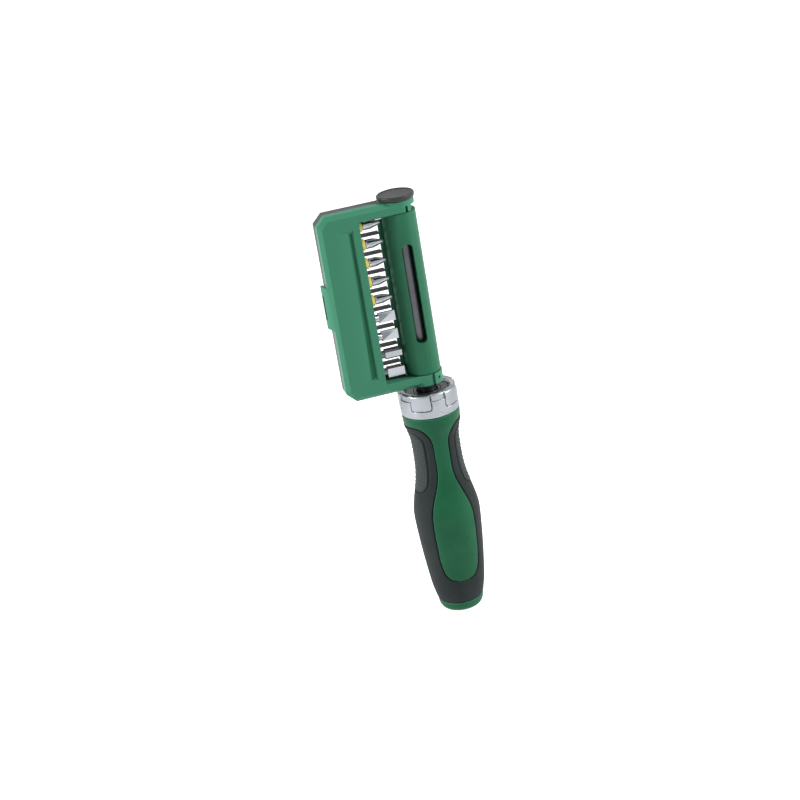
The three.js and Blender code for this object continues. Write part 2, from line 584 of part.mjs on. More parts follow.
// Rear shell: a tray with two arms that hold the tube
const shellPlate = slab(caseOutline(0), 2 * CASE_FRONT, CASE_BACK, SHELL_BEVEL)
  .intersect(box(-far, -TUBE_RADIUS / 2, shellFront, far, 0, far * far));
const shellHollow = box(CASE_LEFT + CASE_WALL, far, -far, trayFloor, barBottomTop, barTopBottom);
const shellWindow = box(WINDOW_LEFT, far, -far, far, tubeLow + ARM_HEIGHT, tubeHigh - ARM_HEIGHT);
const armSeat = rod(TUBE_RADIUS + FIT, tubeLow - RUN, tubeHigh + RUN);
const ringRoom = rod(HINGE_RADIUS + EDGE + RUN, 0, tubeLow)
  .add(rod(HINGE_RADIUS + EDGE + RUN, tubeHigh, far * far));
const catchBead = box(CASE_LEFT - BEAD_RISE, CASE_LEFT + EDGE, latchSlotLow + EDGE, latchSlotHigh - EDGE,
  latchLow + LATCH_SLOT_MARGIN + EDGE, latchHigh - LATCH_SLOT_MARGIN - EDGE);
piece('case_rear_shell', shellPlate.subtract(shellHollow).subtract(shellWindow).subtract(armSeat)
  .subtract(ringRoom).add(catchBead), DARK_PLASTIC);

// A six-sided bit standing on its shank end, before it is laid in the case
const tipLength = BIT_LENGTH - SLEEVE_START - SLEEVE_LENGTH;
const tipStart = BIT_LENGTH - tipLength;
const tipRoot = tipStart - FIT;
function bitTip(kind) {
  const high = BIT_LENGTH;
  const [wide, thick, square] = [BLADE_WIDTH / 2, BLADE_THICKNESS / 2, SQUARE_TIP / 2];
  if (kind === 'blade') return box(-wide, wide, -thick, thick, tipRoot, high);
  if (kind === 'hex') return column(hexagon(HEX_TIP_FLATS), tipRoot, high);
  if (kind === 'square') return box(-square, square, -square, square, tipRoot, high);
  const point = lathe([[0, tipRoot], [BIT_NECK_RADIUS + EDGE, tipRoot],
    [BIT_NECK_RADIUS + EDGE, tipStart + CROSS_SHOULDER], [CROSS_POINT_RADIUS, high], [0, high]], SMALL_STEPS);
  const outer = 2 * BIT_NECK_RADIUS;
  const flute = [[FLUTE_DEPTH, 0], [outer, -FLUTE_HALF_WIDTH], [outer, FLUTE_HALF_WIDTH]];
  const flutes = [45, 135, 225, 315].map((turn) => (
    column(flute, tipStart + EDGE, high + 1).rotate([0, 0, turn])));
  return flutes.reduce((sum, cutter) => sum.subtract(cutter), point);
}

// Bits, coloured sleeves and the notched rail that holds the shanks
const lay = (body, index) => body.rotate([0, 90, 0])
  .translate([BIT_START, BIT_DEPTH, bitLevels[index]]);
const hexHalf = BIT_FLATS / Math.sqrt(3);
const shankForm = lathe([[0, 0], [hexHalf - EDGE, 0], [hexHalf + EDGE, 2 * EDGE],
  [hexHalf + EDGE, BIT_SHANK - 2 * EDGE], [BIT_NECK_RADIUS, BIT_SHANK], [0, BIT_SHANK]], SMALL_STEPS);
const hexBar = (flats, low, high) => column(hexagon(flats), low, high).rotate([0, 0, 90]);
const shank = hexBar(BIT_FLATS, 0, BIT_SHANK).intersect(shankForm);
const neck = rod(BIT_NECK_RADIUS, BIT_SHANK - 1, tipStart, 0, 0, SMALL_STEPS);
const sleeve = ring(BIT_NECK_RADIUS + FIT, SLEEVE_RADIUS, SLEEVE_START,
  SLEEVE_START + SLEEVE_LENGTH - FIT - EDGE, SMALL_STEPS);
const railBack = trayFloor - FIT;
const fingerLow = SLEEVE_RADIUS + FIT;
const finger = (z) => box(RAIL_END - EDGE, finLeft - RUN, railBack - FINGER_DEPTH, railBack,
  z + fingerLow, z + fingerLow + FINGER_RISE);
let rail = box(RAIL_END - RAIL_WIDTH, RAIL_END, shellFront + FIT, railBack, barBottomTop + FIT,
  barTopBottom - FIT);
BIT_TIPS.slice(0, BIT_COUNT).forEach((kind, i) => {
  piece(`bit_${i + 1}`, lay(shank.add(neck).add(bitTip(kind)), i), CHROME);
  if (i < SLEEVED_BITS) piece(`bit_sleeve_${i + 1}`, lay(sleeve, i), YELLOW);
  if (i > 0) rail = rail.add(finger(bitLevels[i]));
  rail = rail.subtract(lay(hexBar(BIT_FLATS + 2 * FIT, -BIT_LENGTH, BIT_SHANK + FIT), i));
});
piece('bit_rail', rail, DARK_PLASTIC);

export default group;
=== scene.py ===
# %% [markdown]
# # A ratchet screwdriver with a hinged bit case
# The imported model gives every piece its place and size. This script dresses it: smooth surfaces
# for the moulded handle and the selector ring, softened edges on the machined and moulded pieces,
# procedural finishes, a camera at the photograph's angle and plain studio light. Sizes are in
# millimetres unless a comment says otherwise, and MM turns them into metres.

# %% Load the frame
import json
import math
import bpy
import bmesh
import numpy as np
from mathutils import Matrix, Vector


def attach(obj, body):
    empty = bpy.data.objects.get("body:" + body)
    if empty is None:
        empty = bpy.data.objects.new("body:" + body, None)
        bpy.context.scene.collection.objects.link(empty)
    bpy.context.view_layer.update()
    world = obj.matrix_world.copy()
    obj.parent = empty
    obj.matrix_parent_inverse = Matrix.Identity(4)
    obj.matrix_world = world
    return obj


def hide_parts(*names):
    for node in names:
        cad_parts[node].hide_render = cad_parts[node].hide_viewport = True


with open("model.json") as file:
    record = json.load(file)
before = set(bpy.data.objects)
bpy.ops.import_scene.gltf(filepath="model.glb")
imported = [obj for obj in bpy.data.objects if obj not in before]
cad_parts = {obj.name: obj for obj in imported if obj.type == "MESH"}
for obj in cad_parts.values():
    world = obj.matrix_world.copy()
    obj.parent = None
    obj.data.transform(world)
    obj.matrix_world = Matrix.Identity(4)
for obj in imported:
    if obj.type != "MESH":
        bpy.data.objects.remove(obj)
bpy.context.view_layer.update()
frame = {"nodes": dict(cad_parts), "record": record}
MM = 0.001
bodies = frame["record"]["behaviour"]["bodies"]
body_of = {node: body for body, nodes in bodies.items() for node in nodes}
slot_of = {row["node"]: row["material_slot"] for row in frame["record"]["subparts"]}
# The shaft takes the darker steel in place of its own polished steel: painted shade for the shadow
# in the case's slot, where the shaft shows nearly black.
slot_of["shaft"] = "dark_steel"

# %% [markdown]
# ## Camera
# The camera was fitted to the ring, the cap and the case outline: it stands a little to the left
# of the front, looks down by about twenty degrees, and is rolled so that the tool leans.

# %% Camera
AZIMUTH, ELEVATION, ROLL = np.radians([-10.41, 21.33, -9.72])
DISTANCE = 946.4 * MM
TARGET = np.array([-13.9, 0, 113.46]) * MM
FOCAL_PIXELS = 1975.7
IMAGE_PIXELS = 800
SENSOR = 36
# Clipping distances in metres.
NEAR, FAR = 0.01, 20

back = np.array([math.sin(AZIMUTH) * math.cos(ELEVATION),
                 -math.cos(AZIMUTH) * math.cos(ELEVATION),
                 math.sin(ELEVATION)])
level = np.array([math.cos(AZIMUTH), math.sin(AZIMUTH), 0])
rise = np.cross(back, level)
right = math.cos(ROLL) * level + math.sin(ROLL) * rise
up = -math.sin(ROLL) * level + math.cos(ROLL) * rise
place = np.eye(4)
place[:3] = np.column_stack([right, up, back, TARGET + back * DISTANCE])

camera = bpy.data.objects.new("camera", bpy.data.cameras.new("camera"))
camera.data.sensor_width = SENSOR
camera.data.lens = FOCAL_PIXELS * SENSOR / IMAGE_PIXELS
camera.data.clip_start = NEAR
camera.data.clip_end = FAR
camera.matrix_world = Matrix(place.tolist())
bpy.context.scene.collection.objects.link(camera)
bpy.context.scene.camera = camera
print("camera at", np.round(place[:3, 3], 3))

# %% [markdown]
# ## Node helpers and shared effects
# Three small node groups serve every finish: a fine moulded or cast grain as a mask and a bump, a
# broad mottle that varies the colour a little, as handling does, and a mask of raised edges.

# %% Node helpers
def node(tree, kind, **settings):
    """Adds one node and sets its properties, or its input sockets where a key is a socket name."""
    made = tree.nodes.new(kind)
    for key, value in settings.items():
        if hasattr(made, key):
            setattr(made, key, value)
        else:
            made.inputs[key.replace("_", " ")].default_value = value
    return made


def group(name, inputs, outputs):
    """Starts a node group with float inputs and returns its tree and end nodes."""
    tree = bpy.data.node_groups.new(name, "ShaderNodeTree")
    for label, value in inputs.items():
        socket = tree.interface.new_socket(label, in_out="INPUT", socket_type="NodeSocketFloat")
        socket.default_value = value
    for label, kind in outputs.items():
        tree.interface.new_socket(label, in_out="OUTPUT", socket_type=kind)
    return tree, tree.nodes.new("NodeGroupInput"), tree.nodes.new("NodeGroupOutput")


def spread_mask(tree, value, start, end):
    """Spreads a value between the group's Low and High inputs into its Mask output."""
    spread = node(tree, "ShaderNodeMapRange")
    tree.links.new(value, spread.inputs["Value"])
    tree.links.new(start.outputs["Low"], spread.inputs["From Min"])
    tree.links.new(start.outputs["High"], spread.inputs["From Max"])
    tree.links.new(spread.outputs["Result"], end.inputs["Mask"])


# %% Grain, mottle and wear groups
grain, start, end = group("grain", {"Scale": 1500.0, "Height": 0.1},
                          {"Mask": "NodeSocketFloat", "Normal": "NodeSocketVector"})
coords = node(grain, "ShaderNodeTexCoord")
noise = node(grain, "ShaderNodeTexNoise", Detail=3.0, Roughness=0.6)
bump = node(grain, "ShaderNodeBump", Distance=0.0002)
grain.links.new(coords.outputs["Object"], noise.inputs["Vector"])
grain.links.new(start.outputs["Scale"], noise.inputs["Scale"])
grain.links.new(noise.outputs["Fac"], bump.inputs["Height"])
grain.links.new(start.outputs["Height"], bump.inputs["Strength"])
grain.links.new(noise.outputs["Fac"], end.inputs["Mask"])
grain.links.new(bump.outputs["Normal"], end.inputs["Normal"])

mottle, start, end = group("mottle", {"Scale": 60.0, "Low": 0.4, "High": 0.6},
                           {"Mask": "NodeSocketFloat"})
coords = node(mottle, "ShaderNodeTexCoord")
noise = node(mottle, "ShaderNodeTexNoise", Detail=4.0, Roughness=0.55)
mottle.links.new(coords.outputs["Object"], noise.inputs["Vector"])
mottle.links.new(start.outputs["Scale"], noise.inputs["Scale"])
spread_mask(mottle, noise.outputs["Fac"], start, end)

# The edge mask lightens raised edges: wear on most finishes, a painted highlight on the grip
# rubber.
wear_and_highlight, start, end = group("edge_wear_and_highlight", {"Low": 0.52, "High": 0.6}, {"Mask": "NodeSocketFloat"})
shape = node(wear_and_highlight, "ShaderNodeNewGeometry")
spread_mask(wear_and_highlight, shape.outputs["Pointiness"], start, end)
print("node groups:", len(bpy.data.node_groups))

# %% [markdown]
# ## Finishes
# Every finish starts from a dark and a light tone of its colour, mixed by the mottle, with raised
# edges lighter still, and a roughness that follows the grain. The lighter edges are wear, except on
# the grip rubber, where they are a painted highlight. The grain's scale and height are set for each
# finish. Tones are display values from 0 to 255.

# %% Finish maker
def linear(r, g, b):
    """A colour given in display values from 0 to 255, as linear light."""
    c = np.array([r, g, b]) / 255
    return tuple(np.where(c <= 0.04045, c / 12.92, ((c + 0.055) / 1.055) ** 2.4)) + (1.0,)


def finish(name, dark, light, edge, rough, grain_scale, grain_height, metal=0.0, **fixed):
    """A material: colour mixed by mottle and by lighter edges (wear, but a painted highlight on the
    grip rubber), roughness spread by the grain mask.
    """
    made = bpy.data.materials.new(name)
    made.use_nodes = True
    tree = made.node_tree
    shader = tree.nodes["Principled BSDF"]
    shader.inputs["Metallic"].default_value = metal
    for key, value in fixed.items():
        shader.inputs[key.replace("_", " ")].default_value = value
    tone = node(tree, "ShaderNodeGroup", node_tree=mottle)
    worn_and_lit = node(tree, "ShaderNodeGroup", node_tree=wear_and_highlight)
    fine = node(tree, "ShaderNodeGroup", node_tree=grain)
    fine.inputs["Scale"].default_value = grain_scale
    fine.inputs["Height"].default_value = grain_height
    first = node(tree, "ShaderNodeMix", data_type="RGBA")
    second = node(tree, "ShaderNodeMix", data_type="RGBA")
    first.inputs["A"].default_value = linear(*dark)
    first.inputs["B"].default_value = linear(*light)
    second.inputs["B"].default_value = linear(*edge)
    gloss = node(tree, "ShaderNodeMapRange", To_Min=rough[0], To_Max=rough[1])
    tree.links.new(tone.outputs["Mask"], first.inputs["Factor"])
    tree.links.new(worn_and_lit.outputs["Mask"], second.inputs["Factor"])
    tree.links.new(first.outputs["Result"], second.inputs["A"])
    tree.links.new(second.outputs["Result"], shader.inputs["Base Color"])
    tree.links.new(fine.outputs["Mask"], gloss.inputs["Value"])
    tree.links.new(gloss.outputs["Result"], shader.inputs["Roughness"])
    tree.links.new(fine.outputs["Normal"], shader.inputs["Normal"])
    return made


# %% Finishes
FINISH_VALUES = {
    "green_plastic": dict(dark=(20, 86, 56), light=(26, 94, 63), edge=(66, 136, 107),
                          rough=(0.42, 0.54), grain_scale=1800.0, grain_height=0.06,
                          Specular_IOR_Level=0.16),
    # The rubber's lighter edge tone is a painted highlight along its edges, not wear.
    "grip_rubber": dict(dark=(28, 35, 35), light=(36, 43, 43), edge=(42, 49, 49),
                        rough=(0.62, 0.8), grain_scale=2600.0, grain_height=0.22,
                        Specular_IOR_Level=0.2),
    "dark_plastic": dict(dark=(58, 60, 62), light=(68, 70, 72), edge=(98, 100, 102),
                         rough=(0.5, 0.66), grain_scale=2200.0, grain_height=0.14,
                         Specular_IOR_Level=0.25),
    "black_plastic": dict(dark=(18, 20, 20), light=(26, 28, 28), edge=(56, 60, 58),
                          rough=(0.38, 0.52), grain_scale=2000.0, grain_height=0.08,
                          Specular_IOR_Level=0.4),
    "satin_steel": dict(dark=(132, 136, 141), light=(148, 152, 157), edge=(196, 200, 204),
                        rough=(0.28, 0.42), grain_scale=3000.0, grain_height=0.05, metal=1.0),
    "polished_steel": dict(dark=(92, 98, 103), light=(108, 114, 119), edge=(180, 184, 188),
                           rough=(0.18, 0.28), grain_scale=900.0, grain_height=0.02, metal=1.0),
    "dark_steel": dict(dark=(62, 64, 67), light=(78, 80, 83), edge=(94, 96, 99),
                       rough=(0.3, 0.44), grain_scale=1600.0, grain_height=0.08, metal=1.0),
    "yellow_plastic": dict(dark=(255, 206, 40), light=(255, 218, 54), edge=(255, 232, 122),
                           rough=(0.36, 0.5), grain_scale=2000.0, grain_height=0.05),
}
FINISHES = {name: finish(name, **row) for name, row in FINISH_VALUES.items()}
print("finishes:", len(FINISHES))

# %% [markdown]
# ## Pieces carried over from the model
# The moulded and machined pieces keep their own form. Each is copied, its loose triangles are
# joined, flat faces are merged, and a small rounding catches the light along its edges.

# %% Softened copies
# Points closer than this many metres are joined.
JOIN_DISTANCE = 1e-6
MERGE_ANGLE = math.radians(0.6)
SHARP_ANGLE = math.radians(35)
ROUNDING_SEGMENTS = 2
# Pieces with broad flat faces, which are shaded by face area.
FLAT_PIECES = ("case_cover", "case_rear_shell", "bit_rail")
FLAT_WEIGHT = 90
ROUNDING = {
    "hinge_tube": 0.25, "tube_cap": 0.35, "case_cover": 0.3, "case_rear_shell": 0.35,
    "bit_rail": 0.2, "shaft": 0.2, "ratchet_housing": 0.2, "retaining_clip": 0.12,
    "bearing_bush": 0.15, "ratchet_gear": 0.1, "pawl_left": 0.1, "pawl_right": 0.1,
    "pawl_pin_left": 0.1, "pawl_pin_right": 0.1, "bit_magnet": 0.15,
}
ROUNDING.update({f"bit_{i}": 0.12 for i in range(1, 10)})
ROUNDING.update({f"bit_sleeve_{i}": 0.35 for i in range(1, 6)})


def place_piece(made, *nodes):
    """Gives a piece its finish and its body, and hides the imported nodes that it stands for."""
    made.data.materials.clear()
    made.data.materials.append(FINISHES[slot_of[nodes[0]]])
    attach(made, body_of[nodes[0]])
    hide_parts(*nodes)


def softened(name, rounding):
    """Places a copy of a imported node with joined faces, smooth shading and rounded edges."""
    source = frame["nodes"][name]
    work = bmesh.new()
    work.from_mesh(source.data)
    bmesh.ops.remove_doubles(work, verts=work.verts, dist=JOIN_DISTANCE)
    bmesh.ops.dissolve_limit(work, angle_limit=MERGE_ANGLE, verts=work.verts, edges=work.edges)
    mesh = bpy.data.meshes.new("soft_" + name)
    work.to_mesh(mesh)
    work.free()
    mesh.shade_smooth()
    mesh.set_sharp_from_angle(angle=SHARP_ANGLE)
    made = bpy.data.objects.new("soft_" + name, mesh)
    bpy.context.scene.collection.objects.link(made)
    round_off = made.modifiers.new("rounding", "BEVEL")
    round_off.width = rounding * MM
    round_off.segments = ROUNDING_SEGMENTS
    round_off.limit_method = "ANGLE"
    round_off.angle_limit = SHARP_ANGLE
    round_off.use_clamp_overlap = True
    if name in FLAT_PIECES:
        even = made.modifiers.new("even", "WEIGHTED_NORMAL")
        even.keep_sharp = True
        even.mode = "FACE_AREA"
        even.weight = FLAT_WEIGHT
    else:
        round_off.harden_normals = True
    place_piece(made, name)


for name, rounding in ROUNDING.items():
    softened(name, rounding)
print("softened pieces:", len(ROUNDING))

# %% [markdown]
# ## Handle form
# The handle is a body of revolution whose radius runs smoothly through measured stations. On it
# lies one drawn line: the bottle-shaped edge between green core and soft grip, the same at the
# front and the back. The signed distance to that line shapes both materials' rounded edges.

# %% Handle sizes
LENGTH = 105.5
RADIUS = 16.2
BUTT = 4.8
GRIP_TOP = 100.4
GRIP_DEPTH = 2.0
SEAM = 0.3
# Rows of height as a share of LENGTH, and radius or half width as a share of RADIUS.
STATIONS = np.array([
    [0.0455, 0.691], [0.0664, 0.728], [0.1232, 0.809], [0.199, 0.87], [0.2844, 0.926],
    [0.3697, 0.969], [0.455, 1], [0.5118, 0.997], [0.5687, 0.932], [0.6161, 0.858],
    [0.6635, 0.784], [0.7299, 0.728], [0.8152, 0.716], [0.872, 0.728], [0.91, 0.784],
    [0.9479, 0.858], [1, 0.889]])
PANEL = np.array([
    [0.1706, 0.216], [0.1801, 0.358], [0.199, 0.481], [0.2275, 0.556], [0.2844, 0.617],
    [0.3412, 0.639], [0.4171, 0.657], [0.4929, 0.654], [0.5498, 0.599], [0.5972, 0.5],
    [0.6445, 0.383], [0.6919, 0.29], [0.7393, 0.253], [0.7962, 0.253], [0.8531, 0.256],
    [0.8815, 0.284], [0.9118, 0.37], [0.9412, 0.537], [0.9573, 0.802], [0.9716, 1.1]])
CURVE_STEPS = 24
# The panel's half width stays just short of the radius, where its arc would end.
SIDE_LIMIT = 0.9999
# How fast a surface sinks past its edge.
SINK_SLOPE = 6
STEPS_AROUND = 288
AROUND = np.linspace(0, 2 * np.pi, STEPS_AROUND, endpoint=False)[:, None]


# %% Handle form
def smooth_curve(points, heights):
    """Values at given heights on a Catmull-Rom curve through [height, value] rows."""
    p = np.vstack([2 * points[0] - points[1], points, 2 * points[-1] - points[-2]])
    t = np.linspace(0, 1, CURVE_STEPS, endpoint=False)[:, None, None]
    a, b, c, d = p[:-3], p[1:-2], p[2:-1], p[3:]
    square = (2 * a - 5 * b + 4 * c - d) * t ** 2
    cube = (3 * b - a - 3 * c + d) * t ** 3
    rows = 0.5 * (2 * b + (c - a) * t + square + cube)
    rows = np.vstack([rows.transpose(1, 0, 2).reshape(-1, 2), points[-1:]])
    return np.interp(heights, rows[:, 0], rows[:, 1])


def handle_radius(z):
    """Radius in mm at heights in mm."""
    return RADIUS * smooth_curve(STATIONS, z / LENGTH)


def edge_distance(angle, z):
    """Distance in mm from the line between grip and core: above zero on the grip, else below."""
    radius = handle_radius(z)
    across = radius * np.arcsin(np.abs(np.sin(angle)))
    half = np.clip(RADIUS * smooth_curve(PANEL, z / LENGTH), 0, radius * SIDE_LIMIT)
    line = radius * np.arcsin(half / radius)
    slope = np.gradient(line[0], z[0])
    side = (across - line) / np.sqrt(1 + slope ** 2)
    low = PANEL[0, 0] * LENGTH
    side = np.where(z < low, np.maximum(side, low - z), side)
    return np.minimum(side, GRIP_TOP - z)


def rounded_drop(distance, radius, floor):
    """How far a surface drops near its edge: a quarter circle, then down to a floor."""
    inside = np.clip(distance / radius, 0, 1)
    arc = radius * (1 - np.sqrt(1 - (1 - inside) ** 2))
    return np.where(distance > 0, arc, np.minimum(radius - SINK_SLOPE * distance, floor))


def corner_distance(across, along, corner):
    """Distance in mm outside an outline with rounded corners, measured from a corner's centre."""
    outside = np.hypot(np.maximum(across, 0), np.maximum(along, 0))
    return outside + np.minimum(np.maximum(across, along), 0) - corner


def surface(name, points, wrap=True):
    """A mesh from a grid of points in mm, rows around the axis and columns along it."""
    rows, columns = points.shape[:2]
    i = np.arange(rows if wrap else rows - 1)[:, None]
    j = np.arange(columns - 1)[None, :]
    k = (i + 1) % rows
    corners = (i * columns + j, k * columns + j, k * columns + j + 1, i * columns + j + 1)
    quads = np.stack(np.broadcast_arrays(*corners), -1).reshape(-1, 4)
    mesh = bpy.data.meshes.new(name)
    mesh.from_pydata((points.reshape(-1, 3) * MM).tolist(), [], quads.tolist())
    mesh.shade_smooth()
    made = bpy.data.objects.new(name, mesh)
    bpy.context.scene.collection.objects.link(made)
    return made


def turned(radius, angle, z):
    """Points from radius, angle (from the front towards +X) and height."""
    x = radius * np.sin(angle)
    y = -radius * np.cos(angle)
    return np.stack(np.broadcast_arrays(x, y, z), -1)


def handle_grid(top, rows):
    """Angles, heights, plain radius and distance from the drawn line, from the butt to a top."""
    heights = np.linspace(BUTT + SEAM, top, rows)[None, :]
    angle = AROUND + 0 * heights
    distance = edge_distance(angle, heights + 0 * angle)
    return angle, heights, handle_radius(heights), distance


print("largest radius", handle_radius(STATIONS[:, 0] * LENGTH).max().round(2), "mm")

# %% [markdown]
# ## Grip and core
# Both are the handle form, each dropping away on its own side of the drawn line, so a thin dark
# groove stays between them. The grip also carries a thumb pad on each side: an outline groove
# with rows of small dots inside it. The core's band carries two plain direction marks.

# %% Pad and mark sizes
PAD_HALF = 0.568 * RADIUS
PAD_LOW = 0.616 * LENGTH
PAD_HIGH = 0.928 * LENGTH
PAD_CORNER = 5.5
GROOVE_DEPTH = 0.7
GROOVE_INSET = 0.35
GROOVE_WIDTH = 0.36
DOT_PITCH = 2.3
DOT_HEIGHT = 0.32
# A dot falls from its flat top to nothing over DOT_SLOPE, and ends DOT_FLAT slopes from its middle.
DOT_FLAT = 1.4
DOT_SLOPE = 0.5
DOT_INSET = 1.4
# Grooves and dots stay this far from the grip's edge.
PATTERN_MARGIN = 0.4
# The pad's painted sheen starts this far inside its outline and blends in over this width.
SHEEN_INSET = 0.9
SHEEN_BLEND = 0.3
# The painted sheen of the thumb pads: a lighter tone for the light that their dots catch.
PAD_SHEEN_TONE = (58, 64, 64)
MARK_HEIGHT = 103.5
# Each mark's middle, in mm to the right of the front, and the way that it points.
MARKS = ((2.6, -1), (6.2, 1))
# A triangle's half height, the way from its middle back to its base, and how fast it narrows.
MARK_HALF = 0.9
MARK_BASE = 0.8
MARK_TAPER = 0.56
# The way from a mark's middle back to its bar, and half the bar's width.
BAR_BASE = 1.35
BAR_HALF = 0.3
MARK_BLEND = 0.2
MARK_RISE = 0.2


# %% Pads and marks
def pad_distance(points):
    """Distance in mm outside the rounded rectangle of the thumb pad, seen along X."""
    across = np.abs(points[..., 1]) - PAD_HALF + PAD_CORNER
    from_middle = np.abs(points[..., 2] - (PAD_LOW + PAD_HIGH) / 2)
    along = from_middle - (PAD_HIGH - PAD_LOW) / 2 + PAD_CORNER
    return corner_distance(across, along, PAD_CORNER)


def pad_dots(angle, heights, base):
    """Height in mm of the staggered rows of dots, before they are kept to the pad."""
    row = np.round(heights / DOT_PITCH)
    sideways = base * angle / DOT_PITCH + 0.5 * (row % 2)
    off = DOT_PITCH * np.hypot(heights / DOT_PITCH - row, sideways - np.round(sideways))
    return DOT_HEIGHT * np.clip(DOT_FLAT - off / DOT_SLOPE, 0, 1)


def marks(across, z):
    """Raised direction marks: two triangles that point apart, each with a short bar."""
    raised = np.zeros_like(across)
    beside = np.abs(z - MARK_HEIGHT)
    for middle, way in MARKS:
        along = way * (across - middle)
        from_base = along + MARK_BASE
        triangle = np.minimum(from_base, MARK_HALF - MARK_TAPER * from_base - beside)
        bar = np.minimum(BAR_HALF - np.abs(along + BAR_BASE), MARK_HALF - beside)
        filled = np.clip(np.maximum(triangle, bar) / MARK_BLEND + 0.5, 0, 1)
        raised = np.maximum(raised, filled)
    return raised


# %% Grip
GRIP_ROWS = 330
GRIP_ROUNDING = 0.6
END_ROUNDING = 0.5
# The rounded ends reach this far past the drawn line.
END_REACH = 0.2

angle, heights, base, distance = handle_grid(GRIP_TOP, GRIP_ROWS)
pad = pad_distance(turned(base, angle, heights))
on_grip = distance > PATTERN_MARGIN
ditch = GROOVE_DEPTH * np.exp(-((pad + GROOVE_INSET) / GROOVE_WIDTH) ** 2)
groove = np.where(on_grip, ditch, 0)
dots = np.where(on_grip & (pad < -DOT_INSET), pad_dots(angle, heights, base), 0)
low_end = rounded_drop(heights - BUTT - SEAM, END_ROUNDING, END_ROUNDING)
high_end = rounded_drop(GRIP_TOP - heights, END_ROUNDING, END_ROUNDING)
end_drop = (low_end + high_end) * (distance > -END_REACH)
edge_drop = rounded_drop(distance, GRIP_ROUNDING, GRIP_DEPTH)
grip = surface("grip_skin", turned(base + dots - edge_drop - groove - end_drop, angle, heights))
# The pad mask on the points marks where the grip shows the pads' painted sheen.
sheen_mask = grip.data.attributes.new("pad", "FLOAT", "POINT")
pad_sheen_share = np.clip((-pad - SHEEN_INSET) / SHEEN_BLEND, 0, 1)
sheen_mask.data.foreach_set("value", pad_sheen_share.astype(np.float32).ravel())
place_piece(grip, "grip_overmould")
print("grip:", len(grip.data.polygons), "faces")

# %% Core
CORE_ROWS = 340
CORE_ROUNDING = 0.5
# The core lies a little below the grip.
CORE_SINK = 0.2
HEAD_BORE = 10.6

angle, heights, base, distance = handle_grid(LENGTH, CORE_ROWS)
rim = rounded_drop(LENGTH - heights, END_ROUNDING, END_ROUNDING)
edge_drop = rounded_drop(-distance - SEAM, CORE_ROUNDING, GRIP_DEPTH + SEAM)
# The angle from the front, between minus and plus half a turn, gives the place across.
across = base * np.angle(np.exp(1j * angle))
raised = MARK_RISE * marks(across, heights + 0 * angle)
core_points = turned(base - CORE_SINK - edge_drop - rim + raised, angle, heights)
lid = turned(np.array([[HEAD_BORE]]), AROUND, np.array([[LENGTH]]))
core = surface("core_skin", np.concatenate([core_points, lid], axis=1))
place_piece(core, "handle_core")
print("core:", len(core.data.polygons), "faces")

# %% Butt cap
BUTT_STEPS = 14
FOOT_EDGE = 8.6
turn = np.linspace(0, np.pi / 2, BUTT_STEPS)
edge_radius = handle_radius(np.array([BUTT]))[0]
# Rows of radius and height: the flat foot, the rounded side and the lip at the grip's end.
foot = np.array([[0, 0], [4, 0], [8.2, 0]])
side = np.column_stack([FOOT_EDGE + (edge_radius - FOOT_EDGE) * np.sin(turn),
                        BUTT * (1 - np.cos(turn))])
lip = np.array([[edge_radius - 0.4, BUTT + 0.15], [9, BUTT + 0.2]])
butt_radii, butt_heights = np.vstack([foot, side, lip]).T
butt = surface("butt_skin", turned(butt_radii[None, :], AROUND, butt_heights[None, :]))
place_piece(butt, "butt_cap")

# %% [markdown]
# ## Thumb pads
# The pads carry a painted sheen, a tone lighter than the grip around them, for the light that their
# dots catch. The grip's finish mixes in that sheen where the pad mask, kept on the surface's
# points, is one.

# %% Pad sheen, painted
tree = FINISHES["grip_rubber"].node_tree
shader = tree.nodes["Principled BSDF"]
# The painted sheen: a lighter tone mixed into the grip where the pad mask is one, for the light
# that the dots catch.
pad_sheen_mask = node(tree, "ShaderNodeAttribute", attribute_name="pad")
pad_sheen_mix = node(tree, "ShaderNodeMix", data_type="RGBA")
pad_sheen_mix.inputs["B"].default_value = linear(*PAD_SHEEN_TONE)
tree.links.new(shader.inputs["Base Color"].links[0].from_socket, pad_sheen_mix.inputs["A"])
tree.links.new(pad_sheen_mask.outputs["Fac"], pad_sheen_mix.inputs["Factor"])
tree.links.new(pad_sheen_mix.outputs["Result"], shader.inputs["Base Color"])
print("pad width", round(2 * PAD_HALF, 1), "mm")

# %% [markdown]
# ## Selector ring
# A turned ring with five raised finger lugs, open at the top and rounded at their lower corners.
# The signed distance to a lug's outline raises the wall inside it and sinks a thin groove around
# it. A small round index mark is sunk into the lower rim.

# %% Ring sizes
RING_LOW = 105.9
RING_HIGH = 117.5
RING_SHELF = 113.2
RING_RADIUS = 14.3
# The wall draws in by the taper over its lowest part, and by the neck between two depths.
RING_TAPER = 0.1
TAPER_HEIGHT = 4
RING_NECK = 0.55
NECK_LOW, NECK_HIGH = 3.5, 3.2
RING_STEPS = 720
RING_ROWS = 96
RING_SHARP = math.radians(50)
LUG_COUNT = 5
# Pitch and turn of the lugs in degrees.
LUG_PITCH = 360 / LUG_COUNT
LUG_TURN = 29
LUG_RADIUS = 14.5
LUG_LOW = 109.8
LUG_HALF = 5.2
LUG_CORNER = 1.4
LUG_BLEND = 0.4
LUG_GROOVE_DEPTH = 0.55
LUG_GROOVE_OUT = 0.2
LUG_GROOVE_WIDTH = 0.24
INDEX_TURN = math.radians(10)
INDEX_HEIGHT = 1.8
INDEX_DEPTH = 0.3
INDEX_FLAT, INDEX_RADIUS = 0.2, 0.55
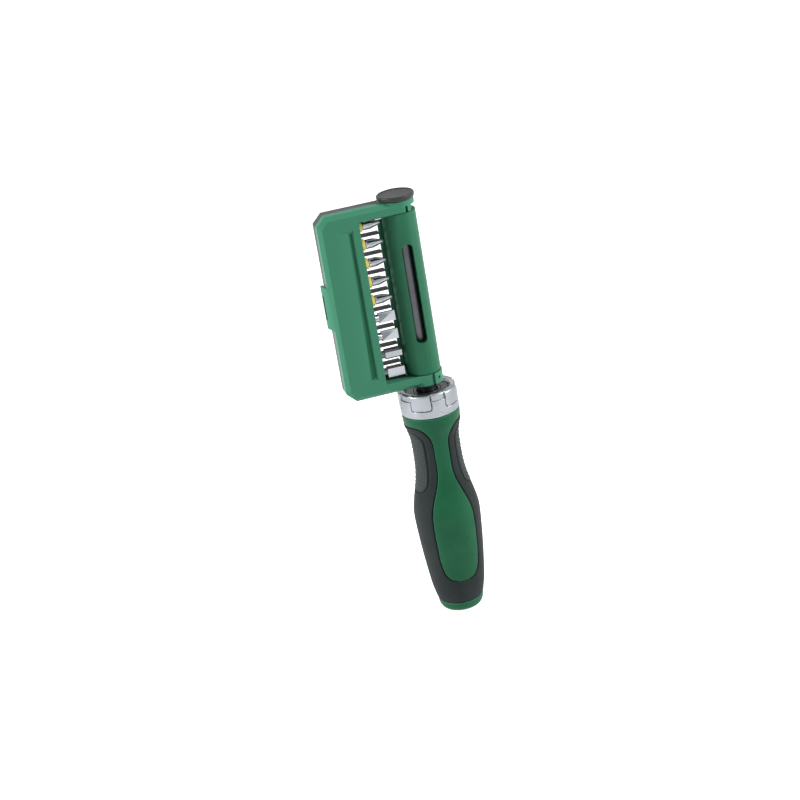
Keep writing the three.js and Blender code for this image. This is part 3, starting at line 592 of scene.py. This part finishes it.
# Rows of radius and height: the underside, and the way in from the top to the bore.
RING_UNDER = np.array([[10.7, RING_LOW], [14.1, RING_LOW]])
RING_INSIDE = np.array([
    [12.9, RING_HIGH], [11.7, RING_HIGH], [11.4, RING_HIGH - 0.3], [11.4, RING_SHELF + 0.2],
    [11.2, RING_SHELF], [10.6, RING_SHELF], [10.6, RING_LOW + 0.2], [10.7, RING_LOW]])
# The wall runs between these heights, short of the ring's two faces.
WALL_LOW, WALL_HIGH = RING_LOW + 0.3, RING_HIGH - 0.8
# Rows of how far the rounded top edge lies in from the wall and below the top.
TOP_EDGE = np.array([[0.25, 0.35], [0.75, 0.05]])


# %% Selector ring
def ramp(value, start, stop):
    """A smooth step from 0 at start to 1 at stop."""
    t = np.clip((value - start) / (stop - start), 0, 1)
    return t * t * (3 - 2 * t)


def lug_distance(angle, z):
    """Distance in mm outside the nearest lug's outline, unrolled onto the lug's own radius."""
    turn = (np.degrees(angle) + LUG_TURN + LUG_PITCH / 2) % LUG_PITCH - LUG_PITCH / 2
    across = LUG_RADIUS * np.radians(np.abs(turn)) - LUG_HALF + LUG_CORNER
    return corner_distance(across, LUG_LOW + LUG_CORNER - z, LUG_CORNER)


fine_around = np.linspace(0, 2 * np.pi, RING_STEPS, endpoint=False)[:, None]
wall_z = np.linspace(WALL_LOW, WALL_HIGH, RING_ROWS)[None, :]
taper = RING_TAPER * ramp(wall_z, WALL_LOW, RING_LOW + TAPER_HEIGHT)
neck = RING_NECK * ramp(wall_z, RING_HIGH - NECK_LOW, RING_HIGH - NECK_HIGH)
plain = RING_RADIUS - taper - neck
outside = lug_distance(fine_around, wall_z)
raised = (LUG_RADIUS - plain) * ramp(-outside, 0, LUG_BLEND)
ditch = LUG_GROOVE_DEPTH * np.exp(-((outside - LUG_GROOVE_OUT) / LUG_GROOVE_WIDTH) ** 2)
off = np.hypot(LUG_RADIUS * (fine_around - INDEX_TURN), wall_z - RING_LOW - INDEX_HEIGHT)
index = INDEX_DEPTH * (1 - ramp(off, INDEX_FLAT, INDEX_RADIUS))
wall = plain + raised - ditch - index
radii = np.hstack([np.tile(RING_UNDER[:, 0], (RING_STEPS, 1)), wall,
                   wall[:, -1:] - TOP_EDGE[:, 0],
                   np.tile(RING_INSIDE[:, 0], (RING_STEPS, 1))])
levels = np.concatenate([RING_UNDER[:, 1], wall_z[0], RING_HIGH - TOP_EDGE[:, 1],
                         RING_INSIDE[:, 1]])
selector = surface("selector_skin", turned(radii, fine_around, levels[None, :]))
selector.data.set_sharp_from_angle(angle=RING_SHARP)
place_piece(selector, "selector_ring")
print("selector faces:", len(selector.data.polygons))

# %% [markdown]
# ## Studio
# A wide pale floor, a surround that looks white but lights the tool only weakly, a large soft key
# from the right, a narrow strip from the upper left that lights the case edge, and a weak fill.

# %% Studio surround
# Strength of the surround for the rays that light the tool, and for those that see it.
SURROUND_LIGHT, SURROUND_SEEN = 0.12, 1.0
# The floor's own glow for those same two kinds of ray.
FLOOR_LIGHT, FLOOR_SEEN = 0.0, 0.92
FLOOR_TONE = (0.9, 0.9, 0.9, 1)
FLOOR_ROUGHNESS = 0.9
FLOOR_HALF = 6000.0
FLOOR_HEIGHT = -0.2
WHITE = (1, 1, 1, 1)


def seen_strength(tree, light, seen):
    """A strength socket: one value for camera, glossy and transmission rays, one for the rest."""
    path = node(tree, "ShaderNodeLightPath")
    mirrored = node(tree, "ShaderNodeMath", operation="MAXIMUM")
    either = node(tree, "ShaderNodeMath", operation="MAXIMUM")
    strength = node(tree, "ShaderNodeMapRange", To_Min=light, To_Max=seen)
    tree.links.new(path.outputs["Is Glossy Ray"], mirrored.inputs[0])
    tree.links.new(path.outputs["Is Transmission Ray"], mirrored.inputs[1])
    tree.links.new(path.outputs["Is Camera Ray"], either.inputs[0])
    tree.links.new(mirrored.outputs[0], either.inputs[1])
    tree.links.new(either.outputs[0], strength.inputs["Value"])
    return strength.outputs["Result"]


scene = bpy.context.scene
scene.view_settings.view_transform = "Standard"
world = bpy.data.worlds.new("studio")
scene.world = world
world.use_nodes = True
tree = world.node_tree
surround = tree.nodes["Background"]
surround.inputs["Color"].default_value = WHITE
tree.links.new(seen_strength(tree, SURROUND_LIGHT, SURROUND_SEEN), surround.inputs["Strength"])

corners = [[[FLOOR_HALF, y, FLOOR_HEIGHT], [-FLOOR_HALF, y, FLOOR_HEIGHT]]
           for y in (-FLOOR_HALF, FLOOR_HALF)]
floor = surface("floor", np.array(corners), wrap=False)
paper = bpy.data.materials.new("paper")
paper.use_nodes = True
tree = paper.node_tree
sheet = tree.nodes["Principled BSDF"]
sheet.inputs["Base Color"].default_value = FLOOR_TONE
sheet.inputs["Roughness"].default_value = FLOOR_ROUGHNESS
sheet.inputs["Emission Color"].default_value = WHITE
tree.links.new(seen_strength(tree, FLOOR_LIGHT, FLOOR_SEEN), sheet.inputs["Emission Strength"])
floor.data.materials.append(paper)
print("floor:", 2 * FLOOR_HALF * MM, "m wide")

# %% Lights
# Places, aims and sizes in metres, power in watts.
LIGHTS = {
    "key": dict(where=(0.95, -0.45, 0.75), aim=(0, 0, 0.12), size=(0.35, 0.9), power=14),
    "strip": dict(where=(-0.85, -0.02, 0.6), aim=(-0.03, 0, 0.17), size=(0.12, 0.7), power=9),
    "fill": dict(where=(0.35, -1.2, 0.9), aim=(0, 0, 0.1), size=(0.6, 0.6), power=0.4),
}


def add_lamp(name, where, aim, size, power):
    """A soft rectangular light, aimed at a point."""
    data = bpy.data.lights.new(name, "AREA")
    data.shape = "RECTANGLE"
    data.size, data.size_y = size
    data.energy = power
    made = bpy.data.objects.new(name, data)
    made.location = where
    made.rotation_euler = (Vector(aim) - Vector(where)).to_track_quat("-Z", "Y").to_euler()
    scene.collection.objects.link(made)


for name, row in LIGHTS.items():
    add_lamp(name, **row)
print("lights:", len(LIGHTS))
